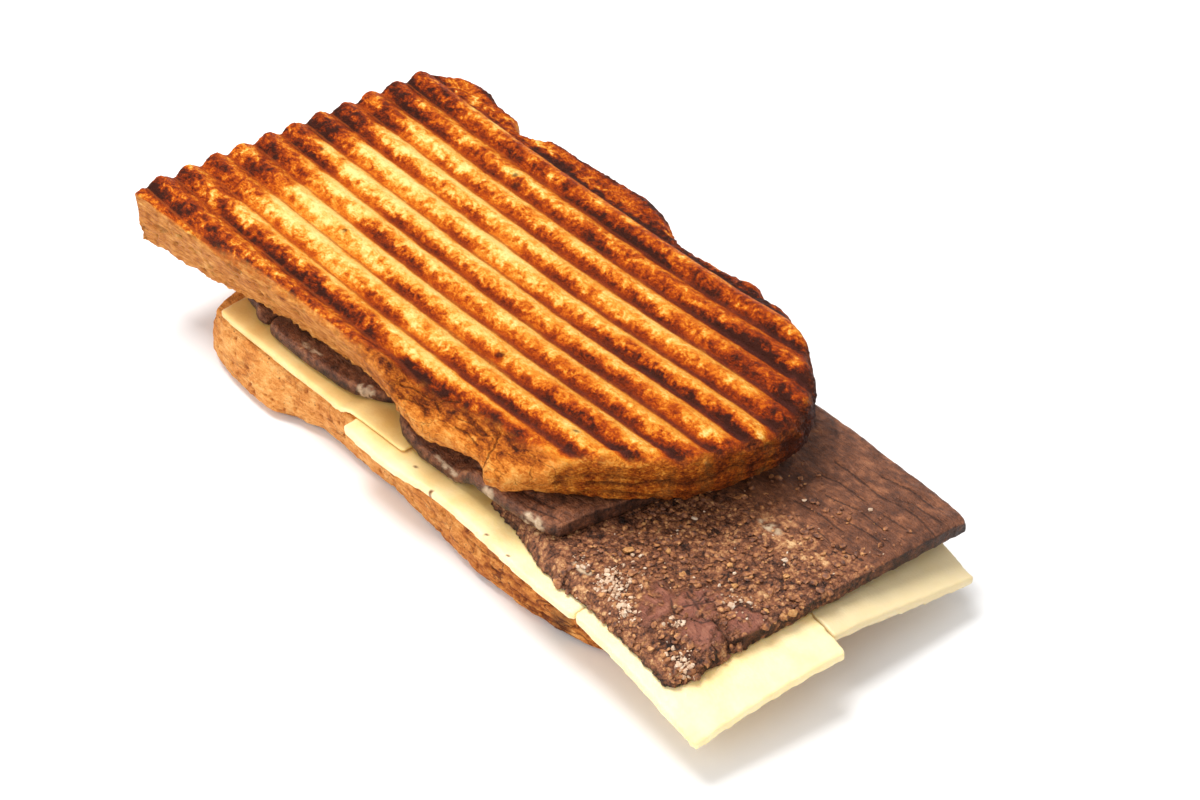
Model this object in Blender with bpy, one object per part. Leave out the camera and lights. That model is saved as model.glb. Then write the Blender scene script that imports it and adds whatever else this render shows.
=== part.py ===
"""A braised meat cheese toastie, as it lies on a table.

Two slices cut lengthwise from a long loaf were pressed in a ridged contact grill. Sliced cheese and slabs
of braised meat lie between them and stick out at the front and along the left side.

Lengths are in millimetres until the meshes are made. X runs along the loaf from its cut back end to its
rounded front end, Y runs across it from the torn left side to the crusty right side, and Z is up from the
table. The last step stands the whole over the middle of its footprint.
"""

import math

import bmesh
import bpy
from mathutils import Vector, noise

MILLIMETRE = 0.001
GAP = 0.3

# Driving sizes
RIDGE_PITCH = 9.4
RIDGE_DEPTH = 2.7
RIDGE_SLANT = -0.0375
BREAD_THICK = 17.0
CHEESE_THICK = 2.7
MEAT_THICK = 5.3

# Levels of the stack
CHEESE_BASE = BREAD_THICK + GAP
CHEESE_TOP = CHEESE_BASE + CHEESE_THICK
MEAT_BASE = CHEESE_TOP + GAP
LAP_THICK = 1.3
LAP_TOP = MEAT_BASE + LAP_THICK


def clear_scene():
    for thing in list(bpy.data.objects):
        bpy.data.objects.remove(thing, do_unlink=True)


def smooth_step(start, end, value):
    """0 before start and 1 after end, turning smoothly between them."""
    t = min(1.0, max(0.0, (value - start) / (end - start)))
    return t * t * (3.0 - 2.0 * t)


def mix(first, second, share):
    return first + (second - first) * share


def follow(points, x):
    """The value at x of a smooth curve through a few (x, value) points."""
    if x <= points[0][0]:
        return points[0][1]
    if x >= points[-1][0]:
        return points[-1][1]
    i = 0
    while points[i + 1][0] < x:
        i += 1
    x1, y1 = points[i]
    x2, y2 = points[i + 1]
    before = points[max(i - 1, 0)]
    after = points[min(i + 2, len(points) - 1)]
    span = x2 - x1
    slope1 = (y2 - before[1]) / (x2 - before[0]) * span
    slope2 = (after[1] - y1) / (after[0] - x1) * span
    t = (x - x1) / span
    return (
        y1 * (2 * t**3 - 3 * t**2 + 1)
        + slope1 * (t**3 - 2 * t**2 + t)
        + y2 * (3 * t**2 - 2 * t**3)
        + slope2 * (t**3 - t**2)
    )


def roughness(x, y, z, grain):
    """Uneven relief between about -1 and 1, with lumps about as long as grain."""
    return noise.noise(Vector((x, y, z)) / grain)


def material(name, colour, rough):
    made = bpy.data.materials.new(name)
    made.use_nodes = True
    shader = made.node_tree.nodes["Principled BSDF"]
    shader.inputs["Base Color"].default_value = (*colour, 1.0)
    shader.inputs["Roughness"].default_value = rough
    shader.inputs["Metallic"].default_value = 0.0
    return made


def loft(name, rings, surface):
    """Skins a row of closed rings of points and caps both ends, as one named object."""
    shape = bmesh.new()
    rows = []
    for ring in rings:
        rows.append([shape.verts.new(Vector(point) * MILLIMETRE) for point in ring])
    count = len(rows[0])
    for back, front in zip(rows, rows[1:]):
        for i in range(count):
            k = (i + 1) % count
            shape.faces.new((back[i], back[k], front[k], front[i]))
    shape.faces.new(rows[0])
    shape.faces.new(rows[-1])
    bmesh.ops.recalc_face_normals(shape, faces=shape.faces)
    mesh = bpy.data.meshes.new(name)
    shape.to_mesh(mesh)
    shape.free()
    mesh.shade_smooth()
    mesh.set_sharp_from_angle(angle=math.radians(50))
    mesh.materials.append(surface)
    made = bpy.data.objects.new(name, mesh)
    bpy.context.collection.objects.link(made)
    return made


def spread(low, high, count):
    return [mix(low, high, i / (count - 1)) for i in range(count)]


def side_rows(rim, foot, bulge, rows):
    """Points of a side wall between its rim and its foot, each (y, z), bulging outwards in the middle."""
    points = []
    for i in range(1, rows + 1):
        t = i / (rows + 1)
        swell = bulge * 4.0 * t * (1.0 - t)
        points.append((mix(rim[0], foot[0], t) + swell, mix(rim[1], foot[1], t)))
    return points


# Top slice of bread

# Where its edges run, seen from above
TOP_BACK_X = -149.0
TOP_FRONT_X = 58.0
TOP_BACK_SKEW = 0.04
TOP_LEFT_RIM = (
    (-150, -49.4),
    (-128, -48.4),
    (-108, -47.2),
    (-92, -46.2),
    (-66, -45.8),
    (-46, -46.6),
    (-31, -47.4),
    (-22, -49.2),
    (-8, -48.0),
    (2, -46.6),
    (5, -46.4),
    (11, -50.6),
    (14, -49.4),
    (22, -42.8),
    (30, -35.8),
    (38, -28.6),
    (46, -20.8),
    (52, -13.4),
    (55, -4.0),
    (57, 5.0),
    (58, 10.0),
)
TOP_LEFT_FOOT = (
    (-150, -48.2),
    (-126, -45.0),
    (-109, -42.0),
    (-92, -39.6),
    (-74, -38.2),
    (-50, -38.6),
    (-40, -41.0),
    (-31, -45.4),
    (-18, -47.0),
    (-6, -45.4),
    (3, -43.6),
    (6, -44.0),
    (11, -49.6),
    (14, -47.6),
    (22, -40.8),
    (30, -33.8),
    (38, -26.4),
    (46, -18.4),
    (51, -12.4),
    (54, -3.0),
    (56, 7.0),
    (58, 12.0),
)
TOP_RIGHT_RIM = (
    (-150, 60.0),
    (-145, 66.2),
    (-138.6, 69.0),
    (-132, 68.9),
    (-123, 65.8),
    (-115, 66.2),
    (-110, 63.2),
    (-105, 60.0),
    (-97, 66.3),
    (-85, 66.6),
    (-71, 67.4),
    (-62, 67.8),
    (-51.6, 67.4),
    (-44, 64.6),
    (-38.7, 62.2),
    (-33, 58.6),
    (-28.7, 58.2),
    (-18, 58.8),
    (-9.5, 58.7),
    (-1, 60.6),
    (5.5, 57.6),
    (12, 57.2),
    (20.7, 54.1),
    (29.4, 48.8),
    (36, 44.8),
    (43, 39.2),
    (50, 32.8),
    (54, 27.4),
    (56.5, 22.0),
    (58, 16.0),
)
# Heights of the ridge crests and of the underside along the slice
TOP_CREST = ((-150, 47.4), (-122, 46.2), (-84, 45.2), (-30, 45.0), (0, 45.8), (26, 47.2), (50, 47.8))
TOP_UNDERSIDE = (
    (-150, 27.6),
    (-120, 26.8),
    (-88, 26.4),
    (-62, 26.6),
    (-46, 27.9),
    (-26, 28.4),
    (-10, 28.8),
    (0, 31.6),
    (6, 32.4),
    (42, 32.4),
    (58, 33.4),
)
NOSE_LENGTH = 7.0
NOSE_MIDDLE = 39.5
NOSE_END = 0.3
NOSE_ROUNDNESS = 2.6
RIM_ROUND = 3.4
RIM_ROUND_DROP = 2.4
CRUST_LUMPS, CRUST_LUMP_SIZE = 0.3, 6.0
FIRST_GROOVE_Y = -39.7
FIRST_GROOVE_X = -50.0
TOP_RIDGES = 11
EDGE_MARGIN = 3.0
FLAP_START_X, FLAP_FULL_X = -40.0, -24.0
FLAP_FADE_X, FLAP_END_X = 30.0, 46.0
FLAP_HINGE_Y, FLAP_LIP_Y = -31.0, -48.0
FLAP_DROP = 6.4
FLAP_LIFT = 2.6
FLAP_LUMPS, FLAP_LUMP_SIZE = 0.5, 4.5
LOBE_DROP = 2.6
UNRIDGED_DROP = 0.6 * RIDGE_DEPTH


def groove_line(x, number):
    """Y of a pressed groove at x; groove 0 runs along the left rim."""
    return FIRST_GROOVE_Y + (number - 1) * RIDGE_PITCH + RIDGE_SLANT * (x - FIRST_GROOVE_X)


def crest_share(x, y):
    """1 on a ridge's crest and 0 in the groove beside it, with broad crests and narrow grooves."""
    phase = (y - groove_line(x, 0)) / RIDGE_PITCH
    wave = abs(math.sin(math.pi * phase))
    return mix(wave, wave * wave, 0.4)


def in_flap(x, y):
    """How far a point lies out on the folded crust flap of the left side, from 0 to 1."""
    along = smooth_step(FLAP_START_X, FLAP_FULL_X, x) * (1.0 - smooth_step(FLAP_FADE_X, FLAP_END_X, x))
    return along * smooth_step(-FLAP_HINGE_Y, -FLAP_LIP_Y, -y)


def nose_share(x):
    """How much of its height the slice keeps towards its rounded front end."""
    reach = max(0.0, (x - (TOP_FRONT_X - NOSE_LENGTH)) / NOSE_LENGTH)
    return mix(NOSE_END, 1.0, (1.0 - min(1.0, reach) ** NOSE_ROUNDNESS) ** (1.0 / NOSE_ROUNDNESS))


def top_surface(x, y, low, high):
    last_groove = groove_line(x, TOP_RIDGES)
    past_last = smooth_step(last_groove - 2.0, last_groove + 2.0, y)
    flap = in_flap(x, y)
    ridged = (1.0 - past_last) * (1.0 - 0.8 * smooth_step(0.1, 0.6, flap))
    ridged *= 1.0 - 0.75 * smooth_step(TOP_FRONT_X - NOSE_LENGTH, TOP_FRONT_X - 1.0, x)
    height = follow(TOP_CREST, x)
    height -= mix(UNRIDGED_DROP, RIDGE_DEPTH * (1.0 - crest_share(x, y)), ridged)
    height -= LOBE_DROP * past_last + FLAP_DROP * flap
    depth = min(1.0, max(0.0, min(y - low, high - y)) / RIM_ROUND)
    height -= RIM_ROUND_DROP * (1.0 - math.sqrt(1.0 - (1.0 - depth) ** 2))
    height += CRUST_LUMPS * roughness(x, y, 1.7, CRUST_LUMP_SIZE)
    height += FLAP_LUMPS * flap * roughness(x, y, 8.3, FLAP_LUMP_SIZE)
    return mix(NOSE_MIDDLE, height, nose_share(x))


def top_underside(x, y):
    along = smooth_step(-46.0, -30.0, x) * (1.0 - smooth_step(2.0, 9.0, x))
    lifted = along * smooth_step(38.0, 45.0, -y)
    height = follow(TOP_UNDERSIDE, x) + FLAP_LIFT * lifted
    return mix(NOSE_MIDDLE, height, nose_share(x))


def between(nominal, low, high, first, last):
    """Draws the columns that would pass an edge into a margin along it, and keeps the others in place."""
    inner_low = low + EDGE_MARGIN + 0.15 * (low - first)
    inner_high = high - EDGE_MARGIN - 0.15 * (last - high)
    if nominal < inner_low:
        return mix(low, inner_low, (nominal - first) / (inner_low - first))
    if nominal > inner_high:
        return mix(high, inner_high, (last - nominal) / (last - inner_high))
    return nominal


def top_columns(x):
    """Y of the lengthwise lines over the slice: on each crest, groove and flank, and along the edges."""
    first_line, last_line = -54.0, 73.0
    quarter = RIDGE_PITCH / 4.0
    ridged = [groove_line(x, 0) + i * quarter for i in range(4 * TOP_RIDGES + 1)]
    beyond = [ridged[-1] + step for step in (2.4, 4.8, 7.2, 9.6)]
    lines = [first_line, ridged[0] - 2.0, *ridged, *beyond, last_line]
    low = follow(TOP_LEFT_RIM, x)
    high = follow(TOP_RIGHT_RIM, x)
    return [between(y, low, high, first_line, last_line) for y in lines]


def top_ring(x):
    columns = top_columns(x)
    low, high = columns[0], columns[-1]
    upper = [(y, top_surface(x, y, low, high)) for y in columns]
    foot_low = follow(TOP_LEFT_FOOT, x)
    foot_high = high - mix(3.5, 1.0, smooth_step(40.0, TOP_FRONT_X, x))
    lower = [(y, top_underside(x, y)) for y in spread(foot_high, foot_low, 8)]
    right = side_rows(upper[-1], lower[0], 1.6, 2)
    left = side_rows(lower[-1], upper[0], -0.5, 2)
    skew = TOP_BACK_SKEW * (1.0 - smooth_step(TOP_BACK_X, TOP_BACK_X + 60.0, x))
    return [(x + skew * y, y, z) for y, z in upper + right + lower + left]


def top_stations():
    body = spread(TOP_BACK_X, 46.0, 34)
    flap_tip = [2.6, 8.4, 11.2, 13.6]
    nose = [49.0, 51.6, 53.8, 55.6, 57.0, TOP_FRONT_X]
    clear = [x for x in body if min(abs(x - tip) for tip in flap_tip) > 1.0]
    return sorted(clear + flap_tip + nose)


def make_top_bread():
    crust = material("toasted_crust", (0.60, 0.27, 0.07), 0.75)
    return loft("top_bread", [top_ring(x) for x in top_stations()], crust)


# Bottom slice of bread

BASE_BACK_X = -121.5
BASE_FRONT_X = 84.5
BASE_LEFT_RIM = (
    (-122, -44.4),
    (-112, -46.6),
    (-98, -47.4),
    (-78, -46.0),
    (-60, -46.2),
    (-30, -48.0),
    (0, -49.0),
    (25, -49.0),
    (45, -46.8),
    (60, -42.4),
    (72, -34.0),
    (79, -24.0),
    (83, -12.0),
    (84.5, -2.0),
)
BASE_LEFT_FOOT = (
    (-122, -45.8),
    (-119.5, -46.8),
    (-108, -49.7),
    (-94.5, -51.2),
    (-82.2, -50.5),
    (-77.6, -47.3),
    (-75.0, -45.6),
    (-64, -45.0),
    (-47.5, -45.8),
    (-31.5, -46.5),
    (-10.6, -48.9),
    (0, -50.5),
    (11, -51.4),
    (31, -50.9),
    (43, -49.4),
    (52, -47.6),
    (60, -43.2),
    (70, -35.0),
    (78, -24.0),
    (82, -13.0),
    (84.5, -2.0),
)
BASE_RIGHT_RIM = (
    (-122, 54.0),
    (-112, 58.0),
    (-98, 59.4),
    (-86, 57.0),
    (-79, 55.2),
    (-68, 58.6),
    (-48, 60.0),
    (-28, 58.2),
    (-18, 55.8),
    (-6, 57.6),
    (16, 56.4),
    (40, 51.8),
    (58, 44.6),
    (72, 34.0),
    (80, 23.0),
    (84.5, 13.0),
)
BASE_RIDGES = 12
BASE_GROOVE = 2.2
LAND_WIDTH = 2.4
BASE_ROUND = 2.6
BASE_NOSE = 8.0
BASE_CURL = 3.0


def base_nose_share(x):
    reach = max(0.0, (x - (BASE_FRONT_X - BASE_NOSE)) / BASE_NOSE)
    return mix(0.3, 1.0, math.sqrt(1.0 - min(1.0, reach) ** 2))


def base_top(x, y, low, high):
    """The cut face under the cheese, with a rounded rim and a back left corner that curls up a little."""
    depth = min(1.0, max(0.0, min(y - low, high - y)) / BASE_ROUND)
    drop = 1.6 * (1.0 - math.sqrt(1.0 - (1.0 - depth) ** 2))
    curl = BASE_CURL * smooth_step(-BASE_BACK_X - 5.0, -BASE_BACK_X + 0.5, -x) * smooth_step(-46.0, -36.0, y)
    return mix(BREAD_THICK / 2.0, BREAD_THICK - drop + curl, base_nose_share(x))


def base_columns(x, low, high):
    """(y, z) of the underside from right to left: flat lands that touch the table, with grooves between."""
    first = groove_line(x, 0) - 3.0
    points = []
    for number in range(BASE_RIDGES + 1):
        crest = first + (number + 0.5) * RIDGE_PITCH
        for y, height in (
            (crest - LAND_WIDTH / 2.0, 0.0),
            (crest + LAND_WIDTH / 2.0, 0.0),
            (crest + RIDGE_PITCH / 2.0, BASE_GROOVE),
        ):
            points.append((y, height))
    lowest, highest = min(low, points[0][0]) - 3.0, max(high, points[-1][0]) + 3.0
    placed = [(low, BASE_ROUND)]
    for y, height in points:
        fitted = between(y, low, high, lowest, highest)
        inside = smooth_step(0.0, EDGE_MARGIN, min(fitted - low, high - fitted))
        placed.append((fitted, mix(BASE_ROUND, height, inside)))
    placed.append((high, BASE_ROUND))
    return placed[::-1]


def base_ring(x):
    low, high = follow(BASE_LEFT_RIM, x), follow(BASE_RIGHT_RIM, x)
    foot_low, foot_high = follow(BASE_LEFT_FOOT, x), high - 1.0
    inset = (0.0, 1.0, 3.0)
    middle = spread(low + 9.0, high - 9.0, 5)
    lines = [low + step for step in inset] + middle + [high - step for step in inset[::-1]]
    upper = [(y, base_top(x, y, low, high)) for y in lines]
    share = base_nose_share(x)
    lower = [(y, mix(BREAD_THICK / 2.0, z, share)) for y, z in base_columns(x, foot_low, foot_high)]
    right = side_rows(upper[-1], lower[0], 1.8, 2)
    left = side_rows(lower[-1], upper[0], -0.8, 2)
    return [(x, y, z) for y, z in upper + right + lower + left]


def make_bottom_bread():
    crumb = material("toasted_crumb", (0.70, 0.38, 0.13), 0.85)
    curl = [BASE_BACK_X, -119.4, -116.8]
    body = spread(-111.0, 74.0, 23)
    nose = [77.0, 79.6, 81.8, 83.4, BASE_FRONT_X]
    return loft("bottom_bread", [base_ring(x) for x in curl + body + nose], crumb)


# Cheese slices

# The bread under them ends in a round nose, past which they droop
NOSE_CENTRE_X, NOSE_CENTRE_Y = 32.0, 2.0
NOSE_RADIUS = 52.0
DROOP_RATE = 0.0042
CORNER_DROOP = 4.5
CHEESE_COLUMNS = 7
CHEESE_CORNER = 1.2
CHEESE_EDGE_SOFTNESS = 0.35


def overhang_droop(x, y):
    """How far a soft layer hangs down for being past the edge of the bread."""
    reach = math.hypot(max(0.0, x - NOSE_CENTRE_X), y - NOSE_CENTRE_Y) - NOSE_RADIUS
    return DROOP_RATE * max(0.0, reach) ** 2


def cheese_droop(x, y):
    """The right front corner of the cheese hangs lower than the rest of it."""
    corner = CORNER_DROOP * smooth_step(-20.0, 34.0, y) * smooth_step(76.0, 102.0, x)
    return overhang_droop(x, y) + corner


def flat_rise(x):
    return 0.0


def lap_rise(x):
    """The back slice climbs over the end of the middle one."""
    return (CHEESE_THICK + GAP) * smooth_step(-57.0, -50.4, x)


def lap_thickness(x):
    return mix(CHEESE_THICK, LAP_THICK, smooth_step(-58.0, -51.5, x))


def even_thickness(x):
    return CHEESE_THICK


def no_skew(x, y):
    return 0.0


def front_skew(x, y):
    """The front slice lies a little turned, so its left front corner is further back."""
    return 0.083 * (y + 10.0) * smooth_step(58.0, 104.0, x)


def right_front_skew(x, y):
    return 0.063 * (y + 9.0) * smooth_step(50.0, 98.0, x)


def cheese_ring(x, left, right, skew, rise, thickness):
    low, high = follow(left, x), follow(right, x)
    upper = []
    lower = []
    for y in spread(low, high, CHEESE_COLUMNS):
        along = x + skew(x, y)
        height = CHEESE_BASE + rise(x) - cheese_droop(along, y)
        soft = CHEESE_EDGE_SOFTNESS if y in (low, high) else 0.0
        upper.append((along, y, height + thickness(x) - soft))
        lower.append((along, y, height))
    return upper + lower[::-1]


def make_cheese(
    name, start, end, left, right, skew=no_skew, rise=flat_rise, thickness=even_thickness, bends=()
):
    pale = material(name + "_curd", (0.93, 0.82, 0.50), 0.45)
    middle = [x for x in spread(start + 5.0, end - 5.0, 10) if all(abs(x - bend) > 2.0 for bend in bends)]
    stations = sorted([start, start + CHEESE_CORNER, *middle, *bends, end - CHEESE_CORNER, end])
    return loft(name, [cheese_ring(x, left, right, skew, rise, thickness) for x in stations], pale)


def rounded_edge(start, end, edge_start, edge_end, inward):
    """A nearly straight edge of a slice whose two corners are softly rounded inwards."""
    nick = 1.0 * inward
    return (
        (start, edge_start + nick),
        (start + CHEESE_CORNER, edge_start + 0.2 * nick),
        (mix(start, end, 0.5), mix(edge_start, edge_end, 0.5)),
        (end - CHEESE_CORNER, edge_end + 0.2 * nick),
        (end, edge_end + nick),
    )


def make_cheeses():
    make_cheese(
        "cheese_slice_back",
        -116.0,
        -27.0,
        rounded_edge(-116.0, -27.0, -46.4, -48.2, 1),
        rounded_edge(-116.0, -27.0, 4.2, 3.6, -1),
        rise=lap_rise,
        thickness=lap_thickness,
        bends=(-58.0, -55.4, -52.8, -50.4),
    )
    middle_left = (
        (-48.6, -51.8),
        (-47.4, -52.4),
        (-36.6, -53.4),
        (-25, -53.8),
        (-17.3, -52.3),
        (-8.7, -52.0),
        (10.8, -52.9),
        (22.2, -54.3),
        (37.1, -55.4),
        (51.4, -55.6),
        (52.6, -54.8),
    )
    make_cheese("cheese_slice_middle", -48.6, 52.6, middle_left, rounded_edge(-48.6, 52.6, -2.6, -4.6, -1))
    make_cheese(
        "cheese_slice_front",
        53.0,
        107.4,
        ((53, -54.6), (54.2, -55.4), (70, -56.6), (86, -58.0), (106.4, -59.0), (107.4, -58.6)),
        ((53, -5.0), (106.2, -10.6), (107.4, -11.4)),
        skew=front_skew,
    )
    make_cheese(
        "cheese_slice_right_front",
        4.0,
        101.6,
        ((4, -1.4), (48, -3.4), (54, -4.2), (56, -4.6), (100.4, -9.3), (101.6, -9.2)),
        ((4, 46.0), (5.2, 47.0), (52, 43.4), (100.4, 39.8), (101.6, 39.6)),
        skew=right_front_skew,
    )
    make_cheese(
        "cheese_slice_right_back",
        -95.0,
        3.6,
        rounded_edge(-95.0, 3.6, 5.0, 4.8, 1),
        rounded_edge(-95.0, 3.6, 53.0, 51.0, -1),
    )


# Braised meat slabs

MEAT_RIM_ROUND = 1.2
MEAT_RIM_WIDTH = 2.5
LAP_STEP = LAP_TOP - CHEESE_TOP


def meat_ring(x, slab):
    """Cross-section of a slab whose left side leans outwards and whose top is cut rough."""
    low, high = follow(slab["left"], x), follow(slab["right"], x)
    skew, base, thick = slab["skew"], slab["base"], slab["thickness"]
    top_low, top_high = low + slab["lean"], high - 0.8
    upper = []
    for y in spread(top_low, top_high, slab["columns"]):
        along = x + skew(x, y)
        rim = min(1.0, min(y - top_low, top_high - y) / MEAT_RIM_WIDTH)
        lumps = 0.5 + 0.5 * roughness(along, y, 3.1, slab["grain"])
        height = base(along, y) + thick(x, y)
        height -= MEAT_RIM_ROUND * (1.0 - rim) ** 2 + slab["relief"] * lumps * rim
        upper.append((along, y, height))
    lower = []
    for y in spread(high, low, max(4, slab["columns"] // 2)):
        along = x + skew(x, y)
        lower.append((along, y, base(along, y)))
    right_side = middle_of_side(upper[-1], lower[0], 0.5)
    left_side = middle_of_side(lower[-1], upper[0], -0.7)
    return upper + [right_side] + lower + [left_side]


def middle_of_side(first, second, bulge):
    x, y, z = ((a + b) / 2.0 for a, b in zip(first, second))
    return (x, y + bulge, z)


def make_meat(name, colour, stations, **slab):
    flesh = material(name + "_flesh", colour, 0.6)
    return loft(name, [meat_ring(x, slab) for x in stations], flesh)


def front_slab_skew(x, y):
    """Its front edge runs slantwise, with a cleft a third of the way along."""
    slant = 0.075 * y * smooth_step(20.0, 88.0, x)
    cleft = 2.6 * math.exp(-(((y + 36.0) / 2.4) ** 2)) * smooth_step(84.0, 93.0, x)
    return slant - cleft


def front_slab_base(x, y):
    """It is stiffer than the cheese, and droops at its left front corner only."""
    return MEAT_BASE - overhang_droop(x, y) * (1.0 - smooth_step(-20.0, 28.0, y))


def front_slab_thickness(x, y):
    ends = min(smooth_step(4.0, 10.0, x), 1.0 - smooth_step(91.0, 96.0, x))
    slump = 1.3 * smooth_step(78.0, 92.0, x) * smooth_step(36.0, 46.0, -y)
    return MEAT_THICK * mix(0.8, 1.0, ends) - slump


def middle_slab_skew(x, y):
    return 0.2 * (min(y, 5.0) + 25.0) * smooth_step(0.0, 32.0, x)


def middle_slab_base(x, y):
    """Lies on the cheese at the back, and climbs over the front slab."""
    on_lap = LAP_STEP * (1.0 - smooth_step(-26.6, -20.0, x))
    return MEAT_BASE + on_lap + (MEAT_THICK + GAP) * smooth_step(-9.0, 3.0, x)


def middle_slab_thickness(x, y):
    ends = min(smooth_step(-42.0, -34.0, x), 1.0 - smooth_step(36.0, 41.0, x))
    return MEAT_THICK * mix(0.8, 1.0, ends)


def back_slab_base(x, y):
    return MEAT_BASE + LAP_STEP * smooth_step(-58.0, -51.0, x)


def back_slab_thickness(x, y):
    ends = min(smooth_step(-99.0, -93.0, x), 1.0 - smooth_step(-50.0, -43.4, x))
    return MEAT_THICK * mix(0.7, 1.0, ends)


def scrap_thickness(x, y):
    ends = min(smooth_step(-116.0, -110.0, x), 1.0 - smooth_step(-103.0, -99.4, x))
    return MEAT_THICK * mix(0.5, 0.95, ends)


def make_meats():
    make_meat(
        "meat_slab_front",
        (0.15, 0.085, 0.062),
        [5.6, 7.4, *spread(11.0, 84.0, 17), 87.6, 90.4, 92.6, 94.0],
        left=(
            (5.6, -44.0),
            (18, -46.2),
            (36, -51.0),
            (60, -52.0),
            (86, -54.4),
            (91, -54.6),
            (93.2, -52.4),
            (94, -49.0),
        ),
        right=((5.6, 48.0), (36, 49.4), (80, 46.2), (92, 44.6), (94, 43.4)),
        skew=front_slab_skew,
        base=front_slab_base,
        thickness=front_slab_thickness,
        lean=4.0,
        relief=0.9,
        columns=24,
        grain=7.0,
    )
    make_meat(
        "meat_slab_middle",
        (0.17, 0.095, 0.07),
        [-41.6, -39.6, *spread(-36.0, 31.0, 15), 34.6, 37.2],
        left=(
            (-41.6, -36.0),
            (-36, -41.6),
            (-28, -45.4),
            (-8, -45.6),
            (8, -46.8),
            (24, -46.2),
            (34.6, -44.8),
            (37.2, -43.0),
        ),
        right=((-41.6, 50.0), (-10, 51.0), (10, 48.0), (24, 42.0), (34, 34.0), (37.2, 30.0)),
        skew=middle_slab_skew,
        base=middle_slab_base,
        thickness=middle_slab_thickness,
        lean=0.8,
        relief=0.6,
        columns=14,
        grain=6.0,
    )
    make_meat(
        "meat_slab_back",
        (0.14, 0.085, 0.065),
        [-98.6, -97.4, *spread(-95.0, -50.0, 11), -46.6, -43.6],
        left=(
            (-98.6, -38.0),
            (-96.5, -42.0),
            (-88, -43.2),
            (-74, -43.4),
            (-62, -42.9),
            (-54, -41.9),
            (-48.6, -40.4),
            (-43.6, -37.0),
        ),
        right=((-98.6, 46.0), (-94, 50.0), (-60, 52.0), (-43.6, 51.0)),
        skew=no_skew,
        base=back_slab_base,
        thickness=back_slab_thickness,
        lean=0.5,
        relief=0.5,
        columns=12,
        grain=6.0,
    )
    make_meat(
        "meat_scrap_back",
        (0.10, 0.05, 0.04),
        [-115.4, -113.0, -110.0, -107.0, -104.0, -101.4, -99.4],
        left=((-115.4, -33.0), (-113, -37.6), (-107, -38.8), (-103, -41.4), (-99.4, -40.6)),
        right=((-115.4, -12.0), (-109, -7.0), (-99.4, -5.0)),
        skew=no_skew,
        base=back_slab_base,
        thickness=scrap_thickness,
        lean=0.4,
        relief=1.0,
        columns=7,
        grain=3.5,
    )


def stand_over_origin():
    """Moves every piece so that the middle of the whole footprint is over the origin and the table is Z 0."""
    corners = [vert.co for thing in bpy.data.objects for vert in thing.data.vertices]
    middle_x = (min(c.x for c in corners) + max(c.x for c in corners)) / 2.0
    middle_y = (min(c.y for c in corners) + max(c.y for c in corners)) / 2.0
    floor = min(c.z for c in corners)
    for thing in bpy.data.objects:
        for vert in thing.data.vertices:
            vert.co -= Vector((middle_x, middle_y, floor))


clear_scene()
make_bottom_bread()
make_cheeses()
make_meats()
make_top_bread()
stand_over_origin()
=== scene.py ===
# A long braised meat and cheese toastie, pressed in a ridged grill, dressed around its CAD frame.
# Lengths are written in millimetres and turned into metres by MM; +X runs towards the rounded front end.
import math
import random

import bpy
import numpy as np
from mathutils import Euler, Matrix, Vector, noise


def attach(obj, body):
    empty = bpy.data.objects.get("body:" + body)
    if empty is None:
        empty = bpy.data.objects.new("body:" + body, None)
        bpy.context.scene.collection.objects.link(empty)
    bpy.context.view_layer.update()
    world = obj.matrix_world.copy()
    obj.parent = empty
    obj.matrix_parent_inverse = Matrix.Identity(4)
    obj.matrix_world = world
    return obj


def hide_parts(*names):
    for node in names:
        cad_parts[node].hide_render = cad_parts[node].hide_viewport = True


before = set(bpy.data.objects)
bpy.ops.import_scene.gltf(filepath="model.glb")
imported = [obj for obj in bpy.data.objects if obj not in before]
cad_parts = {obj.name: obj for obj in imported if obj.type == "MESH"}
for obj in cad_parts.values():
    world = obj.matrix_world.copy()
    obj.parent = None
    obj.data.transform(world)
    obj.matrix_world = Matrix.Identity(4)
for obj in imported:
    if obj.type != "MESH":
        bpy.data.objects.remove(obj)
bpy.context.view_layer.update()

# The bottom slice of bread lies on the table. It was cut from the same loaf as the top one, so its
# sides show the browned skin of the crumb with small pores, and it is browner and cracked towards
# its front. The filling hides its upper face.
MM = 0.001
JOIN_WITHIN = 0.01
BOTTOM_MESH_SIZE = 0.9
PORE_DEPTH = 0.75
FOLD_DEPTH = 0.7
BURNT_LOBE = (-57.0, -54.5)
BURNT_FRONT = (63.0, -54.0)


def fine_copy(node, name, mesh_size, passes):
    """A copy of a CAD node with its loose triangles joined and then meshed finely and softened."""
    bpy.ops.object.select_all(action="DESELECT")
    piece = bpy.data.objects.new(name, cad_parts[node].data.copy())
    bpy.context.collection.objects.link(piece)
    bpy.context.view_layer.objects.active = piece
    piece.select_set(True)
    bpy.ops.object.mode_set(mode="EDIT")
    bpy.ops.mesh.select_all(action="SELECT")
    bpy.ops.mesh.remove_doubles(threshold=JOIN_WITHIN * MM)
    bpy.ops.object.mode_set(mode="OBJECT")
    remesh = piece.modifiers.new("fine_mesh", "REMESH")
    remesh.mode = "VOXEL"
    remesh.voxel_size = mesh_size * MM
    bpy.ops.object.modifier_apply(modifier=remesh.name)
    soften = piece.modifiers.new("soften", "SMOOTH")
    soften.factor = 0.5
    soften.iterations = passes
    bpy.ops.object.modifier_apply(modifier=soften.name)
    bpy.ops.object.shade_smooth()
    piece.data.materials.clear()
    return piece


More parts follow.
